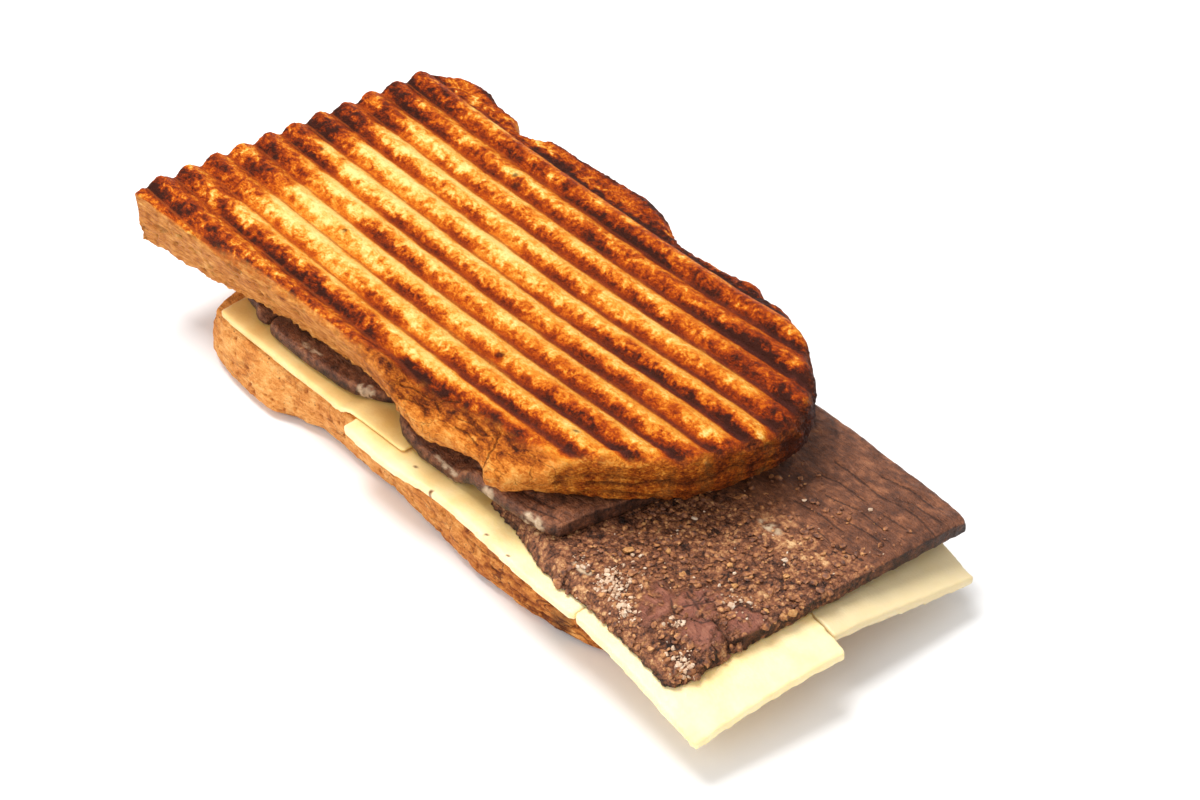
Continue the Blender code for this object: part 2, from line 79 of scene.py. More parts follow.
def surface_of(piece):
    """The piece's points in millimetres and their normals, one row each."""
    points = np.empty(len(piece.data.vertices) * 3)
    normals = np.empty(len(piece.data.vertices) * 3)
    piece.data.vertices.foreach_get("co", points)
    piece.data.vertices.foreach_get("normal", normals)
    return points.reshape(-1, 3) / MM, normals.reshape(-1, 3)


def reshape(piece, points):
    """Moves the piece's points to these places in millimetres."""
    piece.data.vertices.foreach_set("co", (points * MM).ravel())
    piece.data.update()


def paint(piece, name, values):
    """Keeps one value for each point of the piece, which its finish reads by name."""
    layer = piece.data.attributes.new(name, "FLOAT", "POINT")
    layer.data.foreach_set("value", np.clip(values, 0.0, 1.0).astype(np.float32))


def lumps(points, size, octaves=3, seed=0.0):
    """Uneven swelling of about -1 to 1, with lumps about `size` millimetres wide."""
    return np.array([noise.fractal(place, 1.0, 2.0, octaves) for place in (points / size + seed).tolist()])


def ease(low, high, values):
    """0 below low, 1 above high, and smooth between them; high may be the lower one."""
    share = np.clip((values - low) / (high - low), 0.0, 1.0)
    return share * share * (3.0 - 2.0 * share)


def spot(points, centre, reach, along=0.0, soft=0.35):
    """1 inside an oval patch on the piece, seen from above, and 0 outside its soft border."""
    dx = points[:, 0] - centre[0]
    dy = points[:, 1] - centre[1]
    lengthwise = dx * math.cos(along) + dy * math.sin(along)
    across = dy * math.cos(along) - dx * math.sin(along)
    distance = np.hypot(lengthwise / reach[0], across / reach[1])
    return 1.0 - ease(1.0 - soft, 1.0 + soft, distance)


def tone(red, green, blue):
    """A colour read as 0 to 255, as Blender wants it."""
    parts = [part / 255 for part in (red, green, blue)]
    return [((part + 0.055) / 1.055) ** 2.4 if part > 0.04 else part / 12.92 for part in parts] + [1.0]


class Finish:
    """A food's finish, mixed from noise that reads the piece's own Object coordinates."""

    def __init__(self, name):
        self.material = bpy.data.materials.new(name)
        self.material.use_nodes = True
        self.tree = self.material.node_tree
        self.surface = self.tree.nodes["Principled BSDF"].inputs
        self.place = self.tree.nodes.new("ShaderNodeTexCoord").outputs["Object"]

    def node(self, kind, *values, **settings):
        """A new shader node with its settings and, in order, what goes into its sockets."""
        made = self.tree.nodes.new("ShaderNode" + kind)
        for setting, value in settings.items():
            setattr(made, setting, value)
        for socket, value in zip(made.inputs, values):
            self.set(socket, value)
        return made

    def set(self, socket, value):
        """Links a socket to another node's result or gives it a plain value; None leaves it alone."""
        if isinstance(value, bpy.types.NodeSocket):
            self.tree.links.new(value, socket)
        elif value is not None:
            socket.default_value = value

    def maths(self, operation, *values):
        return self.node("Math", *values, operation=operation).outputs[0]

    def times(self, first, second):
        return self.maths("MULTIPLY", first, second)

    def sized(self, size, stretch=(1, 1, 1), turn=(0, 0, 0)):
        """The piece's own places, turned and measured in steps of `size` millimetres."""
        scale = [1.0 / (size * MM * part) for part in stretch]
        return self.node("Mapping", self.place, None, turn, scale).outputs[0]

    def grain(self, size, detail=3.0, stretch=(1, 1, 1), turn=(0, 0, 0), warp=0.0):
        """Noise from about -1 to 1 whose grains are `size` millimetres wide, drawn out by stretch."""
        texture = self.node("TexNoise")
        self.set(texture.inputs["Vector"], self.sized(size, stretch, turn))
        self.set(texture.inputs["Scale"], 1.0)
        self.set(texture.inputs["Detail"], detail)
        self.set(texture.inputs["Distortion"], warp)
        return self.maths("MULTIPLY_ADD", texture.outputs[0], 4.0, -2.0)

    def cells(self, size, warp=0.0):
        """Packed cells `size` millimetres wide: the distance from their middles, and a chance shade."""
        texture = self.node("TexVoronoi")
        swirl = self.node("TexNoise")
        swirl_size = 1.3 * size
        self.set(swirl.inputs["Vector"], self.sized(swirl_size))
        self.set(swirl.inputs["Scale"], 1.0)
        bent = self.node("VectorMath", swirl.outputs["Color"], (warp, warp, warp), operation="MULTIPLY")
        spread = self.node("VectorMath", self.sized(size), bent.outputs[0], operation="ADD")
        self.set(texture.inputs["Vector"], spread.outputs[0])
        self.set(texture.inputs["Scale"], 1.0)
        return texture.outputs["Distance"], texture.outputs["Color"]

    def painted(self, name):
        """The values painted on the piece under this name."""
        return self.node("Attribute", attribute_name=name).outputs["Fac"]

    def total(self, *parts):
        """Adds up (value, weight) pairs and plain values."""
        result = 0.0
        for part in parts:
            if isinstance(part, tuple):
                result = self.maths("MULTIPLY_ADD", part[0], part[1], result)
            else:
                result = self.maths("ADD", result, part)
        return result

    def between(self, value, low, high):
        """0 at low and 1 at high, and smooth between them; high may be the lower one."""
        ranged = self.node("MapRange", value, interpolation_type="SMOOTHSTEP")
        ranged.inputs["From Min"].default_value = low
        ranged.inputs["From Max"].default_value = high
        return ranged.outputs[0]

    def shades(self, value, *stops):
        """A run of colours: each stop is its place and its red, green and blue from 0 to 255."""
        ramp_node = self.node("ValToRGB", value)
        ramp = ramp_node.color_ramp
        while len(ramp.elements) < len(stops):
            ramp.elements.new(1.0)
        for element, (place, *colour) in zip(ramp.elements, stops):
            element.position = place
            element.color = tone(*colour)
        return ramp_node.outputs["Color"]

    def coat(self, share, under, over):
        """One colour laid over another, as thickly as share says."""
        layer = self.node("Mix", data_type="RGBA")
        for number, value in ((0, share), (6, under), (7, over)):
            self.set(layer.inputs[number], value)
        return layer.outputs[2]

    def veins(self, size, width, stretch=(1, 1, 1), turn=(0, 0, 0)):
        """1 on thin wandering lines, `size` millimetres apart or more, and 0 between them."""
        from_line = self.maths("ABSOLUTE", self.grain(size, 3.0, stretch, turn, 0.6))
        return self.between(from_line, width, width * 0.2)

    def relief(self, height, depth):
        """Bumps of `depth` millimetres for each step of 1 in height."""
        bump = self.node("Bump", 1.0, depth * MM)
        self.set(bump.inputs["Height"], height)
        return bump.outputs[0]

    def complete(self, colour, roughness, gloss, bumps):
        """Joins the colour and the bumps to the surface, and sets how dull and how glossy it is."""
        self.set(self.surface["Base Color"], colour)
        self.set(self.surface["Normal"], bumps)
        self.surface["Roughness"].default_value = roughness
        self.surface["Specular IOR Level"].default_value = gloss


def dress(piece, finish, node):
    """Gives a finished piece its material, hangs it on the root body and hides the CAD node it stands for."""
    piece.data.materials.append(finish.material)
    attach(piece, "root")
    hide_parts(node)


bottom = fine_copy("bottom_bread", "bottom_slice", BOTTOM_MESH_SIZE, 3)
points, normals = surface_of(bottom)
sideways = 1.0 - ease(0.25, 0.7, np.abs(normals[:, 2]))
towards_front = ease(-30.0, 60.0, points[:, 0])
pores = ease(0.25, 0.75, lumps(points, 2.6, 2, 3.1)) * (0.5 + 0.5 * sideways)
folds = ease(0.1, 0.6, lumps(points * (0.25, 1.0, 1.6), 2.2, 3, 8.4)) * sideways * towards_front
swelling = 0.45 * lumps(points, 7.0, 3, 1.7) + 0.12 * lumps(points, 1.9, 2, 5.5)
height = swelling - PORE_DEPTH * pores - FOLD_DEPTH * folds
above_table = ease(0.0, 2.0, points[:, 2])
points += normals * (height * above_table)[:, None]
points[:, 2] = np.maximum(points[:, 2], 0.0)
reshape(bottom, points)
paint(bottom, "browned", 0.25 + 0.55 * towards_front + 0.3 * lumps(points, 12.0, 2, 4.0))
# Darker in the pores and folds: painted shade in these dents.
paint(bottom, "pore", np.maximum(pores, folds))
burnt = spot(points, BURNT_LOBE, (4.0, 3.0)) * ease(4.0, 1.5, points[:, 2])
burnt += spot(points, BURNT_FRONT, (3.5, 3.0))
paint(bottom, "burnt", burnt * (0.6 + 0.4 * lumps(points, 1.5, 2, 2.0)))

crumb_side = Finish("toasted_side_crumb")
streaks = crumb_side.grain(0.9, 4.0, stretch=(3.5, 1.5, 1.0))
specks = crumb_side.grain(0.5, 2.0)
tan = crumb_side.total(
    0.56,
    (streaks, 0.18),
    (specks, 0.10),
    (crumb_side.grain(5.0), 0.14),
    (crumb_side.painted("browned"), -0.26),
    # painted shade in the pores and folds
    (crumb_side.painted("pore"), -0.30),
)
colour = crumb_side.shades(
    tan,
    (0.0, 110, 50, 16),
    (0.2, 168, 90, 32),
    (0.42, 212, 134, 60),
    (0.62, 234, 168, 92),
    (0.9, 248, 202, 136),
)
pinholes = crumb_side.between(crumb_side.cells(1.5)[0], 0.24, 0.12)
pinholes = crumb_side.times(pinholes, crumb_side.between(crumb_side.grain(2.5), 0.1, 0.5))
colour = crumb_side.coat(crumb_side.times(pinholes, 0.75), colour, tone(96, 44, 18))
torn_lines = crumb_side.times(crumb_side.veins(4.5, 0.10, (2.6, 1.0, 1.0)), crumb_side.painted("browned"))
colour = crumb_side.coat(torn_lines, colour, tone(112, 52, 20))
colour = crumb_side.coat(crumb_side.painted("burnt"), colour, tone(52, 24, 12))
rough_crumb = crumb_side.total((streaks, 0.5), (specks, 0.6), (pinholes, -1.2), (torn_lines, -1.5))
crumb_side.complete(colour, 0.75, 0.25, crumb_side.relief(rough_crumb, 0.22))
dress(bottom, crumb_side, "bottom_bread")

# Five slices of mild pale cheese lie on the bread, overlapping along the loaf and drooping over its
# edges. They are smooth and satin, and cut about 2.7 mm thick. Near the meat they are painted darker and
# warmer: partly the meat's grease and partly painted shade of the meat.
CHEESES = ("back", "middle", "front", "right_back", "right_front")
CHEESE_MESH_SIZE = 0.6
CHEESE_SWELLING = 0.18
CHEESE_SPECKS = ((1.4, -53.7), (46.3, -58.5), (36.0, -57.4), (12.0, -57.0))
CHEESE_SPECK_REACH = (0.7, 0.45)
RIGHT_SLICE_PAINTED_SHADE = 0.6

satin_cheese = Finish("pale_cheese")
cheese_paleness = satin_cheese.total(
    0.55,
    (satin_cheese.grain(9.0, 3.0), 0.07),
    (satin_cheese.grain(1.2), 0.03),
    (satin_cheese.painted("grease_and_meat_shade"), -0.6),
)
colour = satin_cheese.shades(
    cheese_paleness,
    (0.0, 224, 176, 98),
    (0.35, 244, 212, 144),
    (0.6, 255, 232, 182),
    (0.9, 255, 238, 198),
)
# The two right slices get a duller, darker coat: painted shade.
colour = satin_cheese.coat(satin_cheese.painted("shaded_side"), colour, tone(206, 190, 152))
colour = satin_cheese.coat(satin_cheese.painted("speck"), colour, tone(120, 74, 34))
skin = satin_cheese.total((satin_cheese.grain(2.4, 2.0), 0.5), (satin_cheese.grain(0.6, 2.0), 0.2))
satin_cheese.complete(colour, 0.42, 0.4, satin_cheese.relief(skin, 0.05))
satin_cheese.surface["Subsurface Weight"].default_value = 0.35
satin_cheese.surface["Subsurface Scale"].default_value = 2.0 * MM
satin_cheese.surface["Subsurface Radius"].default_value = (1.0, 0.8, 0.35)
for number, place in enumerate(CHEESES):
    cheese = fine_copy("cheese_slice_" + place, "cheese_" + place, CHEESE_MESH_SIZE, 1)
    points, normals = surface_of(cheese)
    points += normals * (CHEESE_SWELLING * lumps(points, 11.0, 2, 2.0 + number))[:, None]
    reshape(cheese, points)
    # Darker, warmer cheese towards the meat: the meat's grease and painted shade of the meat.
    inwards = ease(-58.0, -46.0, points[:, 1]) * (1.0 - ease(104.0, 121.0, points[:, 0]))
    paint(cheese, "grease_and_meat_shade", 0.8 * inwards + 0.2 * lumps(points, 8.0, 2, 6.0))
    # Painted shade on the two right slices.
    paint(cheese, "shaded_side", np.full(len(points), RIGHT_SLICE_PAINTED_SHADE * place.startswith("right")))
    specks_here = np.zeros(len(points))
    for centre in CHEESE_SPECKS:
        specks_here = np.maximum(specks_here, spot(points, centre, CHEESE_SPECK_REACH, 0.4))
    paint(cheese, "speck", specks_here)
    dress(cheese, satin_cheese, "cheese_slice_" + place)

# Slabs of braised meat lie over the cheese. They were cut about 5 mm thick from a cooled block, so
# the big front slab has a granular crumbly left half, and fibres and long cracks on its right.
MEAT_MESH_SIZES = {"scrap_back": 0.7, "slab_back": 0.75, "slab_middle": 0.7, "slab_front": 0.55}
CRACK_REACH = 3.0
CRACK_WIDTH = 0.6
CRACK_DEPTH = 0.5
CLEFT_WIDTH = 0.8
CLEFT_DEPTH = 1.2
PATCH_RISE = 0.35
LONG_CRACK = ((79.5, 28.9), (88.7, 28.6), (97.3, 27.5), (104.6, 28.6), (109.5, 28.8), (118.5, 27.0))
SIDE_CRACK = ((102.2, 30.3), (106.0, 31.9), (112.0, 31.6), (116.0, 32.0))
FIBRE_CRACKS = {
    "scrap_back": (((-92.0, -41.0), (-84.0, -42.5)),),
    "slab_back": (((-74.0, -40.5), (-62.0, -41.0), (-50.0, -39.0)), ((-66.0, -43.0), (-56.0, -42.6))),
    "slab_middle": (
        ((30.0, -46.0), (40.0, -47.0), (50.0, -45.0)),
        ((20.0, -48.0), (28.0, -48.6)),
        ((44.0, -49.4), (53.0, -47.0)),
    ),
    "slab_front": (
        ((84.0, 9.0), (93.0, 10.5), (101.0, 10.0)),
        ((88.0, 17.0), (98.0, 19.0), (108.0, 18.5)),
        ((98.0, 13.5), (110.0, 14.5)),
        ((80.0, 22.0), (86.0, 23.5), (96.0, 23.0)),
        ((104.0, 22.5), (114.0, 23.5)),
        ((97.0, 5.0), (105.0, 4.0), (113.0, 5.5)),
        ((92.0, 34.0), (101.0, 35.5), (110.0, 35.0)),
    ),
}
PLATE_MIDDLE = (97.0, -38.5)
PLATE_CRACKS = (
    (PLATE_MIDDLE, (99.5, -33.6)),
    (PLATE_MIDDLE, (102.4, -40.6)),
    (PLATE_MIDDLE, (95.0, -43.5)),
    (PLATE_MIDDLE, (92.6, -37.6)),
    (PLATE_MIDDLE, (95.8, -34.4)),
)
PLATE_RIM = ((92.0, -42.5), (95.5, -44.6), (99.0, -43.4), (103.0, -42.0), (104.5, -37.5))
CLEFT = ((103.5, -38.5), (108.0, -39.5), (113.5, -41.0))
SMOOTH_PATCHES = (
    ((90.0, -46.0), (6.5, 3.4), -0.9),
    ((105.5, -44.0), (5.0, 3.6), 0.5),
    ((97.5, -38.0), (5.2, 5.0), 0.0),
    ((111.0, -33.5), (5.0, 4.2), 0.6),
)
FAT_PATCHES = (
    ("slab_front", (67.5, -51.0), (3.2, 1.2), 0.1),
    ("slab_front", (87.6, -3.4), (4.2, 1.4), 0.0),
    ("slab_middle", (48.0, -51.5), (4.0, 1.5), 0.05),
    ("slab_middle", (30.5, -52.5), (2.4, 1.0), 0.0),
    ("slab_middle", (10.0, -50.2), (6.0, 0.5), -0.1),
    ("slab_back", (-30.0, -46.5), (3.0, 1.2), 0.2),
    ("slab_back", (-56.0, -46.2), (5.0, 0.8), 0.0),
)
PALE_SHREDS = ((96.0, -1.0), (16.0, 6.0))


def line_distance(points, line):
    """Millimetres from each point to a bent line, seen from above, and below 0 on the line's right."""
    nearest = np.full(len(points), 1000.0)
    for (ax, ay), (bx, by) in zip(line, line[1:]):
        run = np.array([bx - ax, by - ay])
        offset = points[:, :2] - (ax, ay)
        share = np.clip(offset @ run / (run @ run), 0.0, 1.0)
        away = np.linalg.norm(offset - share[:, None] * run, axis=1)
        left = np.where(run[0] * offset[:, 1] - run[1] * offset[:, 0] < 0.0, -1.0, 1.0)
        nearest = np.where(away < np.abs(nearest), away * left, nearest)
    return nearest


def nearest_of(points, lines):
    """The signed distance to whichever of the lines is nearest."""
    distances = np.array([line_distance(points, line) for line in lines])
    return distances[np.abs(distances).argmin(0), np.arange(len(points))]


def near(distance, width):
    """1 at no distance, fading to nearly 0 at twice the width."""
    return np.exp(-((distance / width) ** 2))


def paint_cracks(piece, points, lines):
    """Paints how far each point is from the nearest crack, so that its finish can draw a thin line."""
    distance = nearest_of(points, lines)
    paint(piece, "crack_offset", 0.5 + distance / (2 * CRACK_REACH))
    paint(piece, "near_crack", near(distance, 1.1))


def hairline(finish, width, ragged):
    """1 on the thin cracks that paint_cracks painted, with uneven sides, and 0 beside them."""
    offset = finish.maths("ABSOLUTE", finish.maths("SUBTRACT", finish.painted("crack_offset"), 0.5))
    from_crack = finish.maths("MULTIPLY_ADD", ragged, 0.22, finish.times(offset, 2 * CRACK_REACH))
    return finish.times(finish.between(from_crack, width * 1.5, width * 0.5), finish.painted("near_crack"))


braised = Finish("braised_meat")
gritty = braised.painted("gritty")
smooth_cut = braised.maths("SUBTRACT", 1.0, gritty)
long_fibres = braised.grain(0.6, 4.0, stretch=(4.0, 1.0, 1.0), turn=(0, 0, 0.2), warp=0.9)
leathery = braised.grain(4.0, 5.0, stretch=(1.6, 1.0, 1.0), turn=(0, 0, 0.5), warp=1.0)
fine_grit = braised.grain(0.42, 4.0)
clumps = braised.grain(2.8, 5.0, warp=0.5)
chunk_middle, chunk_shade = braised.cells(1.5, 0.7)
bit_middle, bit_shade = braised.cells(0.6, 0.5)
# Each crumb of the gritty zone gets its own tone, and its edges are darker: painted shade in the crevices
# between crumbs.
crumb_tone_and_crevice_shade = braised.total(
    (braised.maths("SUBTRACT", chunk_shade, 0.5), 0.5),
    (braised.maths("SUBTRACT", bit_shade, 0.5), 0.3),
    (braised.grain(4.6, 3.0, warp=0.4), 0.17),
    (braised.maths("SUBTRACT", 0.45, chunk_middle), 0.36),
    (braised.maths("SUBTRACT", 0.45, bit_middle), 0.16),
)
lightness = braised.total(
    0.42,
    (braised.grain(9.0), 0.08),
    (clumps, 0.13),
    (fine_grit, 0.06),
    (braised.times(long_fibres, smooth_cut), 0.10),
    (braised.times(leathery, smooth_cut), 0.12),
    (braised.times(crumb_tone_and_crevice_shade, gritty), 1.0),
    (gritty, 0.09),
    (braised.painted("rim"), 0.10),
    # painted shade on the slabs' sides
    (braised.painted("painted_side_shade"), -0.16),
    (braised.painted("pale_streaks"), 0.34),
)
colour = braised.shades(
    lightness,
    (0.0, 28, 15, 8),
    (0.2, 60, 32, 19),
    (0.42, 112, 66, 42),
    (0.6, 152, 95, 62),
    (0.8, 196, 140, 92),
    (1.0, 230, 186, 134),
)
flesh = braised.shades(
    braised.total(0.5, (clumps, 0.2), (long_fibres, 0.12)),
    (0.1, 98, 52, 38),
    (0.5, 144, 86, 66),
    (0.9, 184, 124, 96),
)
flesh = braised.coat(braised.times(braised.veins(2.8, 0.07), 0.7), flesh, tone(64, 34, 26))
colour = braised.coat(braised.painted("smooth"), colour, flesh)
fat_tone = braised.shades(
    braised.total(0.5, (clumps, 0.3)),
    (0.1, 150, 112, 82),
    (0.6, 208, 180, 146),
    (0.9, 226, 206, 178),
)
colour = braised.coat(braised.painted("fat"), colour, fat_tone)
# The thin cracks are drawn dark: painted shade inside the cracks.
meat_crack_shade = hairline(braised, 0.3, braised.grain(1.1, 4.0))
colour = braised.coat(braised.times(meat_crack_shade, 0.75), colour, tone(44, 24, 16))
meat_bumps = braised.total(
    (braised.times(chunk_middle, gritty), -1.6),
    (braised.times(bit_middle, gritty), -0.9),
    (long_fibres, 0.5),
    (fine_grit, 0.3),
    (braised.times(clumps, gritty), 0.9),
)
braised.complete(colour, 0.42, 0.3, braised.relief(meat_bumps, 0.3))
for place, mesh_size in MEAT_MESH_SIZES.items():
    meat = fine_copy("meat_" + place, "braised_" + place, mesh_size, 1)
    points, normals = surface_of(meat)
    upper = ease(0.2, 0.8, normals[:, 2])
    is_front = float(place == "slab_front")
    past_grains = points[:, 1] + 5.0 * lumps(points, 14.0, 2, 9.0) - 0.10 * (points[:, 0] - 95.0)
    grainy_zone = 1.0 - ease(-8.0, 14.0, past_grains)
    smooth_zone = np.zeros(len(points))
    if is_front:
        pushed = points + np.stack([1.7 * lumps(points, 4.0, 3, shift) for shift in (1.5, 7.5, 3.5)], 1)
        for centre, reach, along in SMOOTH_PATCHES:
            wide = (reach[0] * 1.15, reach[1] * 1.15)
            smooth_zone = np.maximum(smooth_zone, spot(pushed, centre, wide, along, 0.22))
        smooth_zone *= ease(-0.5, 0.0, lumps(points, 2.2, 3, 4.4))
    fat = np.zeros(len(points))
    for home, centre, reach, along in FAT_PATCHES:
        if home == place:
            broken = ease(-0.45, 0.1, lumps(points, 1.8, 3, 1.0))
            fat = np.maximum(fat, spot(points, centre, reach, along, 0.2) * broken)
    gritty_share = np.clip(grainy_zone * (1.0 - smooth_zone) * (1.0 - fat), 0.0, 1.0) * (0.4 + 0.6 * is_front)
    grit = 0.34 * lumps(points, 1.6, 3, 2.2) + 0.34 * lumps(points, 4.2, 2, 7.0)
    fibres = 0.16 * lumps(points * (0.32, 1.0, 1.0), 1.3, 3, 6.1) + 0.22 * lumps(points, 7.0, 2, 5.0)
    height = (gritty_share * grit + (1.0 - gritty_share) * fibres) * (0.55 + 0.45 * is_front)
    cracks = list(FIBRE_CRACKS[place])
    if is_front:
        cracks += [LONG_CRACK, SIDE_CRACK, PLATE_RIM, CLEFT, *PLATE_CRACKS]
        height -= CLEFT_DEPTH * near(line_distance(points, CLEFT), CLEFT_WIDTH)
    open_crack = near(nearest_of(points, cracks), CRACK_WIDTH) * upper
    height += PATCH_RISE * smooth_zone * upper - CRACK_DEPTH * open_crack
    points += normals * height[:, None]
    reshape(meat, points)
    paint_cracks(meat, points, cracks)
    paint(meat, "gritty", gritty_share)
    paint(meat, "smooth", smooth_zone * upper)
    paint(meat, "fat", fat)
    shredded = spot(points, *PALE_SHREDS, 0.1, 0.5) * is_front
    paint(meat, "pale_streaks", shredded * ease(-0.2, 0.5, lumps(points * (0.3, 1.0, 1.0), 1.6, 3, 8.0)))
    # The slabs' sides are painted darker: painted shade.
    paint(meat, "painted_side_shade", 1.0 - upper)
    paint(meat, "rim", ease(0.15, 0.5, normals[:, 2]) * (1.0 - ease(0.6, 0.95, normals[:, 2])))
    dress(meat, braised, "meat_" + place)

# The top slice was pressed in a ridged contact grill. Each ridge has a pale golden crest, and the
# toasting spreads raggedly up its left flank from the dark crease below. A flap of crust is folded
# down along the left front, and scorched lobes of crust stick out on the right.
TOP_MESH_SIZE = 0.82
RIDGE_PITCH = 9.4
RIDGE_SLANT = 0.0375
FIRST_GROOVE = 55.286
LAST_GROOVE_COUNT = 11.1
CREASE_LEAD = 0.04
MOST_SCORCH = 0.6
FRONT_EDGE = (
    (51.9, -40.9),
    (59.9, -33.7),
    (67.9, -25.9),
    (73.9, -18.5),
    (76.9, -9.1),
    (79.9, 4.9),
    (79.9, 10.9),
    (75.9, 22.3),
    (71.9, 27.7),
    (64.9, 34.1),
    (57.9, 39.7),
)
NOSE_CREASES = ((41.5, 0.7), (38.4, 1.0), (35.4, 1.0), (33.0, 0.8))
TOP_SPECKS = (
    ((-109.6, -0.4), (0.9, 0.7)),
    ((-72.0, -20.5), (0.7, 0.6)),
    ((-62.4, 35.2), (1.0, 0.8)),
    ((-59.5, 33.0), (1.6, 0.8)),
    ((3.1, -24.5), (1.4, 0.8)),
    ((44.0, -33.0), (0.9, 0.7)),
)
SCORCHED_SPOTS = (
    (0.16, (-70.0, -41.0), (24.0, 3.5), 0.05),
    (0.22, (-35.0, -42.5), (14.0, 3.0), 0.03),
    (0.35, (74.0, 22.0), (9.0, 13.0), 0.3),
    (0.3, (32.5, -44.3), (4.0, 2.2), 0.3),
)
BACK_LOBE = ((-48.0, 58.0), (30.0, 14.0))
MIDDLE_LOBE = ((0.0, 52.0), (40.0, 12.0))
FLAP_FOLD = ((-30.0, -47.5), (-7.7, -44.6), (11.5, -42.6), (39.4, -41.3), (52.4, -40.2), (60.0, -38.0))
FLAP_CRACKS = (
    ((26.3, -44.6), (27.4, -46.6), (28.2, -47.8), (28.6, -49.8), (29.4, -51.5), (29.8, -54.5)),
    ((2.4, -46.8), (3.8, -45.4), (5.0, -44.8), (8.8, -43.6)),
    ((-9.0, -50.0), (-6.2, -48.0), (-4.0, -47.2), (1.5, -46.4), (6.0, -48.2)),
    ((-7.0, -52.0), (-3.0, -49.8), (1.0, -49.4), (3.6, -51.6)),
    ((12.0, -46.4), (17.0, -45.6), (21.5, -46.6), (24.0, -46.0)),
    ((14.0, -49.0), (18.0, -48.2), (23.0, -49.6)),
)

# Where the creases, lobes, flap and rounded front end lie on the slice, each as a share from 0 to 1.
top = fine_copy("top_bread", "top_slice", TOP_MESH_SIZE, 2)
points, normals = surface_of(top)
x, y, z = points.T
upper = ease(0.3, 0.7, normals[:, 2])
left_foot = 1.0 - ease(0.25, 0.6, normals[:, 2])
count = (y + RIDGE_SLANT * x + FIRST_GROOVE) / RIDGE_PITCH
from_groove = count - np.round(count)
to_front = np.abs(line_distance(points, FRONT_EDGE)) + 1.6 * lumps(points, 4.0, 3, 6.6)
nose = 1.0 - ease(-0.4, 3.6, to_front)
steep = 1.0 - ease(0.2, 0.65, normals[:, 2])
nose_face = steep * (1.0 - ease(4.0, 7.0, to_front))
nose_skin = steep * (1.0 - ease(2.0, 14.0, to_front))
past_fold = np.interp(x, *np.array(FLAP_FOLD).T) + 0.9 * lumps(points, 6.0, 3, 2.6) - y
in_flap_run = ease(-32.0, -22.0, x) * (1.0 - ease(50.0, 66.0, x))
flap = in_flap_run * ease(0.3, 3.4, past_fold)
ridged = upper * (1.0 - ease(10.9, LAST_GROOVE_COUNT, count)) * (1.0 - 0.8 * nose) * (1.0 - flap)
lobes = ease(10.85, LAST_GROOVE_COUNT, count) * upper

# Its torn, puckered and cracked relief.
flank = near(count % 1.0 - 0.2, 0.16) * ridged
crease = near(from_groove * RIDGE_PITCH, 1.0) * ridged
raggedness_here = 0.5 + flank + 2.6 * lobes + 1.6 * flap + 2.2 * nose
height = -0.15 * crease + 0.17 * lumps(points, 1.7, 3, 2.0) * raggedness_here
height += 0.35 * lumps(points, 9.0, 2, 3.0) * (0.5 + left_foot + flap)
height += 0.3 * lumps(points, 3.6, 3, 4.0) * flap
crumb_strip = left_foot * (1.0 - nose) * (1.0 - flap)
torn_edge = crumb_strip * (1.0 - ease(27.0, 42.0, z - 0.06 * np.minimum(x, 0.0)))
height += 1.15 * lumps(points, 2.2, 4, 9.3) * torn_edge
creases = np.zeros(len(points))
for level, depth in NOSE_CREASES:
    waves = 1.8 * lumps(points * (1.0, 1.0, 0.2), 9.0, 2, level)
    on_crease = near(z - level - 0.04 * (y + 20.0) + waves, 0.65)
    broken = ease(-0.7, 0.0, lumps(points, 7.0, 2, level))
    creases = np.maximum(creases, on_crease * nose_face * depth * broken)
height -= 0.9 * creases
pits = ease(0.25, 0.7, lumps(points * (0.7, 1.0, 1.3), 2.4, 2, 7.0)) * crumb_strip
height -= 0.7 * pits
open_crack = near(nearest_of(points, FLAP_CRACKS), CRACK_WIDTH) * ease(0.2, 0.6, normals[:, 2])
height -= 0.6 * open_crack
points += normals * height[:, None]
reshape(top, points)

# Where it is scorched: the back end, both rims, the ends of the grooves, the fold and the lobes.
groove_ends = near(from_groove + 0.03, 0.2) * near(to_front - 6.0, 3.0) * upper
back_end = ease(-97.0, -122.0, x + 9.0 * lumps(points, 7.0, 2, 11.0))
left_rim = (1.0 - ease(0.8, 2.1, count)) * upper * (1.0 - in_flap_run)
right_rim = ease(8.0, 10.0, count + 0.02 * (x - 20.0) * (x > 20.0))
clear_of_flap = 1.0 - in_flap_run * (x < 45.0)
scorch = 0.78 * back_end + 0.6 * left_rim + 0.34 * right_rim + 0.4 * groove_ends * clear_of_flap
for strength, centre, reach, along in SCORCHED_SPOTS:
    scorch += strength * spot(points, centre, reach, along)
scorch += 0.18 * nose * ease(-20.0, 15.0, y)
scorch += 0.34 * (1.0 - ease(1.0, 9.0, to_front)) * upper * ease(-38.0, 0.0, y)
scorch += lobes * (0.44 + 0.32 * spot(points, *BACK_LOBE) + 0.1 * spot(points, *MIDDLE_LOBE))
fold_scorch = 0.6 * near(past_fold, 1.6) + 0.46 * near(past_fold - 4.0, 4.2)
scorch += in_flap_run * (1.0 - ease(30.0, 48.0, x)) * fold_scorch
scorch *= 1.0 - 0.7 * ease(29.0, 41.0, y) * nose_skin
scorch *= 1.0 + 0.5 * lumps(points, 4.5, 3, 12.0)
paint(top, "scorch", MOST_SCORCH * np.tanh(scorch / MOST_SCORCH))
paint(top, "frontwards", ease(-110.0, 60.0, x))
paint(top, "flap", flap)
nose_and_skin = np.maximum(nose, nose_skin)
paint(top, "torn_side", np.maximum(left_foot, 1.0 - upper) * (1.0 - nose_and_skin) * (1.0 - 0.8 * flap))
paint(top, "ridged", ridged)
